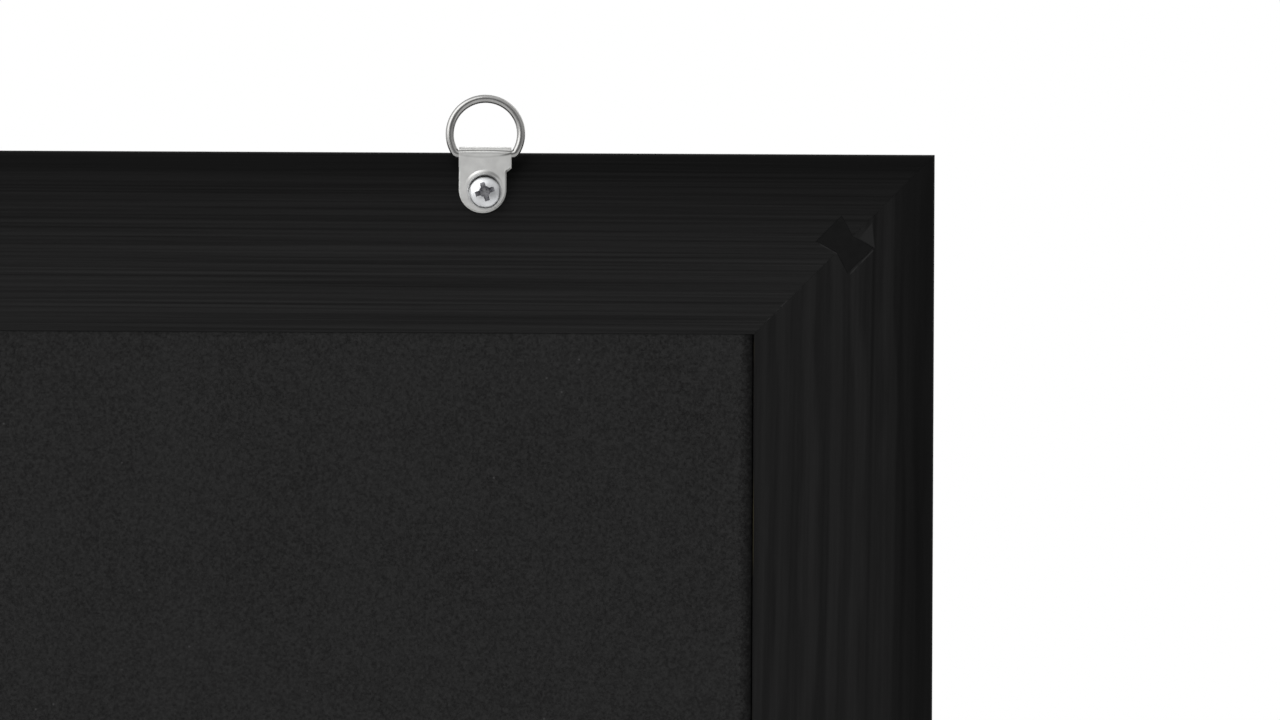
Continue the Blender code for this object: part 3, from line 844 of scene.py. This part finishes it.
def bright_metal(name, colour, rough, scale, depth, stretch=(1.0, 1.0, 1.0), edge=1.0, with_painted_shade=False):
    """Metal whose roughness and relief follow one noise, stretched along the rolling direction.

    rough is the least and the greatest roughness. edge is the share of light that the metal
    still returns where the surface turns away. With painted shade, the metal is darker where
    the mesh's own attribute of painted shade says so.
    """
    finish = Finish(name)
    grain = finish.mapped(finish.place, scale=tuple(part / MM for part in stretch))
    marks = finish.noise(grain, scale, detail=4.0, roughness=0.6)
    darker = tuple(DULLER * part for part in colour)
    shown = finish.blend(finish.spread(finish.cloud(0.35), 0.3, 0.7), (*darker, 1), (*colour, 1))
    # Painted shade, read from the mesh.
    if with_painted_shade:
        painted_shade = finish.add("Attribute", attribute_name="painted_shade").outputs["Fac"]
        shown = finish.blend(painted_shade, shown, PAINTED_SHADE_TONE)
    finish.set(
        Base_Color=shown,
        Roughness=finish.spread(marks, 0.3, 0.7, *rough),
        Metallic=1.0,
        Specular_Tint=grey(edge),
    )
    finish.relief(marks, depth)
    return finish


satin, rolled = (0.42, 0.5), (3.0, 1.0, 0.25)
# The strap's zinc shows the shade painted on its sheet.
strap_zinc = bright_metal("strap_zinc", (0.76, 0.76, 0.745), satin, 1.0, 0.004 * MM, rolled, with_painted_shade=True)
ring_nickel = bright_metal("ring_nickel", (0.385, 0.382, 0.374), (0.19, 0.27), 0.8, 0.002 * MM, edge=0.1)
screw_zinc = bright_metal("screw_zinc", (0.69, 0.70, 0.715), (0.26, 0.42), 1.5, 0.07 * MM)
# Darker zinc on the faces of the cross in the screw head: painted shade in the recess.
shaded_recess_zinc = bright_metal("shaded_recess_zinc", (0.44, 0.44, 0.46), (0.2, 0.4), 2.0, 0.02 * MM)

# %% [markdown]
# ## Strap
# The sheet is made as its middle surface and then given its thickness. Each layer starts with
# circles round the hole as far as the collar, so the dish and the collar fall on the grid, and
# goes on in lines from the last circle to the outline. A strip joins that fan to the roll, and
# two ears beside it make the square shoulders. The front layer runs straight from the roll down
# to the tail, and the dish drops from that slope to the flat seat under the screw head.

# %% Sizes of the strap
SHEET, SHEET_EDGE = 0.6 * MM, 0.18 * MM
strap_low, strap_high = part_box("left_hanger_strap")
FOLD_HALF = (strap_high.x - strap_low.x) / 2
BAR_UP, BAR_OUT = 8.6 * MM, 1.8 * MM
FOLD_RADIUS = 1.3 * MM
BACK_OUT, SEAT_OUT = 0.5 * MM, 1.2 * MM
SHOULDER_UP, SHOULDER_LOW, JOIN_UP = 5.7 * MM, 4.8 * MM, 6.6 * MM
TAIL_RADIUS, BACK_SPARE = 4.96 * MM, 0.22 * MM
TAIL_CENTRE = np.array([TAIL_RADIUS + BACK_SPARE - FOLD_HALF, 0.97 * MM])
HOLE_CENTRE, HOLE_RADIUS = np.array([-0.15 * MM, 0.5 * MM]), 2.6 * MM
DISH_START, DISH_END = 3.1 * MM, 3.9 * MM
COLLAR_END, COLLAR_HEIGHT = 4.5 * MM, 0.22 * MM
# Which way the collar is highest, and which way the painted shade on its side lies; then how dark the
# painted shade in the dish and on that side is.
COLLAR_WAY, COLLAR_SHADE_WAY = (np.array([math.cos(way), math.sin(way)]) for way in np.radians((102, 62)))
DISH_SHADE, COLLAR_SHADE = 0.5, 0.45
CIRCLE_END, CIRCLES, CIRCLE_SPARE, LINE_STEPS = 4.6 * MM, 26, 0.3 * MM, 4
# The crease's depth and width, and the painted shade in it; then the painted shade over the bend, lower and
# upper, and how softly it changes.
CREASE_DEPTH, CREASE_WIDTH, CREASE_SHADE = 0.05 * MM, 0.17, 0.95
BEND_SHADE_LOW, BEND_SHADE_TOP, BEND_SOFT = 0.27, 0.34, math.radians(20)
# Where the painted shade at the end of the bend lies, how it rises and bows across, its width, and how dark
# it is along the line and at the right end.
PRESS_UP, PRESS_RISE, PRESS_BOW = 7.8 * MM, 0.13 * MM, 0.65 * MM
PRESS_WIDTH, PRESS_SHADE, GAP_SHADE = 0.19 * MM, 0.18, 0.9
TAIL_TIP = TAIL_CENTRE[1] - TAIL_RADIUS

fold_gap = math.hypot(BAR_UP - TAIL_TIP, BAR_OUT - SEAT_OUT)
SLOPE = math.atan2(BAR_OUT - SEAT_OUT, BAR_UP - TAIL_TIP) + math.asin(FOLD_RADIUS / fold_gap)
LEAVE_UP = BAR_UP - FOLD_RADIUS * math.sin(SLOPE)
print(f"front layer slopes {math.degrees(SLOPE):.1f} degrees")

# %% Strap surfaces
SHOULDER_ROWS = np.linspace(SHOULDER_LOW, SHOULDER_UP, 4)
EAR_ROWS = np.concatenate([SHOULDER_ROWS, np.linspace(SHOULDER_UP, JOIN_UP, 4)[1:]])


def sides_of(spare):
    """Left and right edge of the tail: its centre less and plus its radius and a spare."""
    return TAIL_CENTRE[0] - TAIL_RADIUS - spare, TAIL_CENTRE[0] + TAIL_RADIUS + spare


def fan_outline(spare):
    """What the lines from the hole reach, counterclockwise: a side, the tail, a side, the top."""
    left_x, right_x = sides_of(spare)
    rows = np.concatenate([np.linspace(TAIL_CENTRE[1], SHOULDER_LOW, 8)[1:], EAR_ROWS[1:]])
    left = points(np.full_like(rows, left_x), rows[::-1])
    tail = arc(TAIL_CENTRE, TAIL_RADIUS + spare, math.pi, TURN, 48)
    right = points(np.full_like(rows, right_x), rows)
    top = np.linspace((right_x, JOIN_UP), (left_x, JOIN_UP), 15)[1:-1]
    return np.concatenate([left, tail, right, top])


def fan(spare):
    """Circles round the hole as far as the collar, then lines from the last circle outwards.

    The hole isn't in the middle of the tail, so past the dish the circles are pressed together
    wherever the outline comes close.
    """
    outline = fan_outline(spare)
    way = outline - HOLE_CENTRE
    distance = np.linalg.norm(way, axis=1, keepdims=True)
    way /= distance
    squeeze = np.clip((distance - CIRCLE_SPARE - DISH_END) / (CIRCLE_END - DISH_END), 0.2, 1)
    radius = np.linspace(HOLE_RADIUS, CIRCLE_END, CIRCLES)[:, None, None]
    radius = np.minimum(radius, DISH_END) + np.maximum(radius - DISH_END, 0) * squeeze
    circles = HOLE_CENTRE + radius * way
    share = np.linspace(0, 1, LINE_STEPS + 1)[1:, None, None]
    return np.concatenate([circles, circles[-1] + share * (outline - circles[-1])])


def ear(side_x, edge_x):
    """Shoulder beside the fan: rows that grow from nothing to the width of the strip."""
    reach = np.clip((EAR_ROWS - SHOULDER_LOW) / (SHOULDER_UP - SHOULDER_LOW), 0, 1)[:, None]
    x = side_x + (edge_x - side_x) * reach * np.linspace(0, 1, 3)
    return points(x, np.broadcast_to(EAR_ROWS[:, None], x.shape))


def strip_columns(spare):
    """Places across the strip: 15 over the width of the tail and two more on either side."""
    left_x, right_x = sides_of(spare)
    left, right = np.linspace(-FOLD_HALF, left_x, 3)[:-1], np.linspace(right_x, FOLD_HALF, 3)[1:]
    return np.concatenate([left, np.linspace(left_x, right_x, 15), right])


def strip(spare, top):
    """Rectangle of even rows between the fan and the roll."""
    return points(*np.meshgrid(strip_columns(spare), np.linspace(JOIN_UP, top, 25)))


def smooth_step(value):
    """Zero up to 0, one from 1 on, and 3 v^2 - 2 v^3 between."""
    held = np.clip(value, 0, 1)
    return held * held * (3 - 2 * held)


def bend_end_shade(x, up):
    """Painted shade along the line where the bend ends, at PRESS_UP + PRESS_RISE s + PRESS_BOW s^2.

    s runs from -1 to 1 across the strap. The painted line is faint, but darker at the right
    end, as shade where the layers stand a little apart.
    """
    s = x / FOLD_HALF
    off = (up - PRESS_UP - PRESS_RISE * s - PRESS_BOW * s**2) / PRESS_WIDTH
    share = PRESS_SHADE + (GAP_SHADE - PRESS_SHADE) * smooth_step((s - 0.5) / 0.35)
    return share * np.exp(-(off**2))


def front_height(flat):
    """Height and painted shade of the front layer's middle surface.

    It is the slope, raised to a collar that falls away evenly from its crest and is highest
    towards the roll, and dropped to the seat inside the collar. Shade is painted in the dish
    beside the screw head, on the side of the collar that faces away from the light, and along
    the line where the bend ends.
    """
    slope = SEAT_OUT + (flat[..., 1] - TAIL_TIP) * math.tan(SLOPE)
    off = flat - HOLE_CENTRE
    away = np.linalg.norm(off, axis=-1)
    facing = np.clip(off @ COLLAR_WAY / away, 0, 1)
    flank = np.clip((COLLAR_END - away) / (COLLAR_END - DISH_END), 0, 1)
    raised = slope + COLLAR_HEIGHT * facing**2 * flank
    inside_collar = smooth_step((away - DISH_START) / (DISH_END - DISH_START))
    height = SEAT_OUT + (raised - SEAT_OUT) * inside_collar
    # Painted shade on the side of the collar that faces away from the light.
    collar_shade = COLLAR_SHADE * np.clip(off @ COLLAR_SHADE_WAY / away, 0, 1) ** 6 * smooth_step(2 * flank)
    # Painted shade in the dish next to the screw head.
    painted_shade = np.maximum(collar_shade, DISH_SHADE * smooth_step((DISH_END - away) / (DISH_END - DISH_START)))
    return height, np.maximum(painted_shade, bend_end_shade(flat[..., 0], flat[..., 1]))


def back_height(flat):
    """The back layer is level, with no painted shade."""
    return np.full(flat.shape[:-1], BACK_OUT), np.zeros(flat.shape[:-1])


def layer(spare, top, shape):
    """All patches of one layer as (x, y, height, painted shade) and whether its columns close."""
    left_x, right_x = sides_of(spare)
    flats = [(fan(spare), True), (strip(spare, top), False)]
    flats += [(ear(left_x, -FOLD_HALF), False), (ear(right_x, FOLD_HALF), False)]
    return [(np.dstack([flat, *shape(flat)]), closed) for flat, closed in flats]


def roll():
    """Half turn round the bar, with a shallow crease that bows across the fold.

    The crease lies at 66 + 2 s + 8 s^2 degrees, where s runs from -1 to 1 across. Shade is
    painted over the bend, heavier above the crease and darkest in the crease itself.
    """
    share = np.linspace(0, 1, 91)[:, None]
    angle = (1 - share) * (QUARTER + SLOPE) - share * QUARTER
    x = (1 - share) * strip_columns(0.0) + share * strip_columns(BACK_SPARE)
    s = x / FOLD_HALF
    bend = np.radians(66 + 2 * s + 8 * s**2)
    crease = np.exp(-(((angle - bend) / CREASE_WIDTH) ** 2))
    radius = FOLD_RADIUS - CREASE_DEPTH * crease
    up, out = BAR_UP + radius * np.cos(angle), BAR_OUT + radius * np.sin(angle)
    # Painted shade over the bend, heavier above the crease, and darkest in the crease.
    darker = BEND_SHADE_LOW + (BEND_SHADE_TOP - BEND_SHADE_LOW) * smooth_step((bend - angle) / BEND_SOFT)
    painted_shade = np.maximum(CREASE_SHADE * crease, darker * smooth_step(share / 0.06))
    painted_shade = np.maximum(painted_shade, bend_end_shade(x, up) * (angle > bend))
    return points(x, up, out, painted_shade)


def strap(side_name):
    """The patches joined into one sheet, then its thickness, then its softened edges."""
    patches = layer(0.0, LEAVE_UP, front_height)
    patches += layer(BACK_SPARE, BAR_UP, back_height)
    patches.append((roll(), False))
    parts, faces = [], []
    for grid, closed in patches:
        start = sum(len(part) for part in parts)
        faces += (grid_faces(*grid.shape[:2], round_columns=closed) + start).tolist()
        parts.append(grid.reshape(-1, 4))
    skin = np.concatenate(parts)
    piece = new_piece(f"{side_name}_strap_sheet", skin[:, :3], faces)
    # Painted shade of the dish, the collar, the bend and the crease, kept on the points of the sheet.
    painted_shade = piece.data.attributes.new("painted_shade", "FLOAT", "POINT")
    painted_shade.data.foreach_set("value", skin[:, 3])
    close_up(piece, 0.01 * MM)
    wall = piece.modifiers.new("Sheet", "SOLIDIFY")
    wall.thickness = SHEET
    wall.offset = 0
    soften = piece.modifiers.new("Edges", "BEVEL")
    soften.width = SHEET_EDGE
    soften.segments = 3
    soften.limit_method = "ANGLE"
    soften.angle_limit = math.radians(50)
    piece.data.transform(hanger_axes(side_name))
    settle(piece)
    close_up(piece)
    hand_over(piece, strap_zinc, f"{side_name}_strap", f"{side_name}_hanger_strap")


for side_name in SIDES:
    strap(side_name)

# %% [markdown]
# ## Ring
# The ring is wire bent to a D. Its middle line is flat: a straight bar, two tight corners and
# a bow. A circle carried along that line makes the wire: each point is the line's point plus
# the wire's radius times (cos of the angle * outward normal + sin of the angle * axis).

# %% Ring
WIRE_RADIUS = 0.88 * MM
BOW_RADIUS = 7.8 * MM
BOW_UP = 4.5 * MM
CORNER_RADIUS = 1 * MM
CORNER_X = math.sqrt((BOW_RADIUS - CORNER_RADIUS) ** 2 - (BOW_UP - CORNER_RADIUS) ** 2)


def ring_line():
    """Closed middle line of the wire, counterclockwise from the right end of the bar."""
    meeting = math.atan2(CORNER_RADIUS - BOW_UP, CORNER_X)
    right = arc((CORNER_X, CORNER_RADIUS), CORNER_RADIUS, -QUARTER, meeting, 10)
    bow = arc((0, BOW_UP), BOW_RADIUS, meeting, math.pi - meeting, 200)
    left = arc((-CORNER_X, CORNER_RADIUS), CORNER_RADIUS, math.pi - meeting, 3 * QUARTER, 10)
    bar = np.linspace((-CORNER_X, 0), (CORNER_X, 0), 9)
    return np.concatenate([right, bow[1:-1], left, bar[1:-1]])


def ring(side_name, facets=40):
    """The circle of the wire carried along the closed line of the D."""
    line = ring_line()
    along = np.roll(line, -1, axis=0) - np.roll(line, 1, axis=0)
    along /= np.linalg.norm(along, axis=1, keepdims=True)
    outwards = points(along[:, 1], -along[:, 0])
    angle = np.linspace(0, TURN, facets, endpoint=False)
    flat = line[:, None, :] + WIRE_RADIUS * np.cos(angle)[None, :, None] * outwards[:, None, :]
    height = np.broadcast_to(WIRE_RADIUS * np.sin(angle), flat.shape[:2])
    skin = np.dstack([flat, height]) + (0, BAR_UP, BAR_OUT)
    faces = grid_faces(*skin.shape[:2], round_rows=True, round_columns=True).tolist()
    piece = new_piece(f"{side_name}_ring_wire", skin, faces)
    piece.data.transform(hanger_axes(side_name))
    close_up(piece)
    hand_over(piece, ring_nickel, f"{side_name}_ring", f"{side_name}_hanger_ring")


for side_name in SIDES:
    ring(side_name)

# %% [markdown]
# ## Screw
# The head is a low dome over a short straight rim, turned about the screw's axis. The thread
# is the same turning with a radius that also depends on the angle: a ridge where height
# divided by the pitch, less the angle as a part of a turn, is midway between whole numbers.
# Two tapered wings and a cone in the middle cut the cross, and leave their darker zinc on its faces as
# painted shade in the recess.

# %% Sizes of the screw
HEAD_RADIUS, HEAD_HEIGHT, HEAD_RIM, HEAD_EDGE = 3.5 * MM, 2.37 * MM, 0.6 * MM, 0.12 * MM
HEAD_SEAT = 1.7 * MM
SCREW_LENGTH, POINT_LENGTH = 12 * MM, 3 * MM
CREST_RADIUS, CORE_RADIUS, PITCH, RIDGE = 1.6 * MM, 1.05 * MM, 1.35 * MM, 0.28
RECESS_SPAN, RECESS_WIDTH, RECESS_DEPTH = 5.0 * MM, 1.15 * MM, 1.6 * MM
RECESS_MOUTH, RECESS_FOOT = 1.45 * MM, 0.5 * MM
WING_FOOT, WING_MOUTH = (0.4, 0.55), (1.08, 1.08)
RECESS_TURN = math.radians(17)
RECESS_TOP = HEAD_SEAT + HEAD_HEIGHT + 0.3 * MM
RECESS_BASE = HEAD_SEAT + HEAD_HEIGHT - RECESS_DEPTH
PILOT_RADIUS, PILOT_TOP = 1.7 * MM, 1 * MM
PILOT_BASE = HEAD_SEAT - SCREW_LENGTH - 0.3 * MM

# %% Screw
def screw_rings(facets=48):
    """Rows of points round the axis, from the top of the head to the tip."""
    angle = np.linspace(0, TURN, facets, endpoint=False)
    share = np.linspace(0, QUARTER, 15)
    dome_height = HEAD_SEAT + HEAD_RIM + (HEAD_HEIGHT - HEAD_RIM) * np.cos(share) ** 0.9
    dome = points(HEAD_RADIUS * np.sin(share), dome_height)
    rim = [(HEAD_RADIUS, HEAD_SEAT + HEAD_EDGE), (HEAD_RADIUS - HEAD_EDGE, HEAD_SEAT)]
    plain = np.concatenate([dome, rim, [(CREST_RADIUS, HEAD_SEAT)]])
    head = np.broadcast_to(plain[:, None, :], (len(plain), facets, 2))
    drop = np.linspace(0, SCREW_LENGTH, 110)
    height = np.broadcast_to((HEAD_SEAT - drop)[:, None], (len(drop), facets))
    turns = (height / PITCH - angle[None, :] / TURN) % 1.0
    ridge = np.clip(1 - np.abs(turns - 0.5) / RIDGE, 0, 1)
    taper = np.clip((SCREW_LENGTH - drop) / POINT_LENGTH, 0, 1)[:, None]
    shank = (CORE_RADIUS + (CREST_RADIUS - CORE_RADIUS) * ridge) * taper
    radius, height = np.moveaxis(np.concatenate([head, points(shank, height)]), -1, 0)
    return points(radius * np.cos(angle), radius * np.sin(angle), height)


def wing(turn):
    """Tapered cutter of one arm of the cross: a box that narrows towards its foot."""
    corners = np.array([(-1, -1), (1, -1), (1, 1), (-1, 1)]) / 2
    arm = corners * (RECESS_SPAN, RECESS_WIDTH)
    foot, mouth = turned(arm * WING_FOOT, turn), turned(arm * WING_MOUTH, turn)
    rings = np.array([at_height(foot, RECESS_BASE), at_height(mouth, RECESS_TOP)])
    return tube("wing", rings, (shaded_recess_zinc,))


def round_cutter(name, ends, finishes=()):
    """Cone or cylinder on the axis, with a circle of given (radius, height) at each end."""
    rings = [at_height(arc((0, 0), radius, 0, TURN, 32)[:-1], height) for radius, height in ends]
    return tube(name, np.array(rings), finishes)


def screw(side_name, side):
    """The turned screw with its cross cut in, and the pilot hole that it needs in the rail."""
    piece = tube(f"{side_name}_pan_screw", screw_rings(), (screw_zinc,))
    for turn in (-side * RECESS_TURN, -side * RECESS_TURN + QUARTER):
        carve(piece, wing(turn))
    cone = ((RECESS_FOOT, RECESS_BASE), (RECESS_MOUTH, RECESS_TOP))
    carve(piece, round_cutter("funnel", cone, (shaded_recess_zinc,)))
    piece.data.transform(hanger_axes(side_name))
    close_up(piece)
    hand_over(piece, screw_zinc, "board", f"{side_name}_hanger_screw")
    pilot = round_cutter("pilot", ((PILOT_RADIUS, PILOT_BASE), (PILOT_RADIUS, PILOT_TOP)))
    pilot.data.transform(hanger_axes(side_name))
    carve(frame_pieces["top_rail"], pilot)


for side_name, side in SIDES.items():
    screw(side_name, side)

# %% [markdown]
# The frame pieces are handed over last, because the pockets and pilot holes are cut in them.

# %% Frame handed over
for node, piece in frame_pieces.items():
    hand_over(piece, None, "board", node)
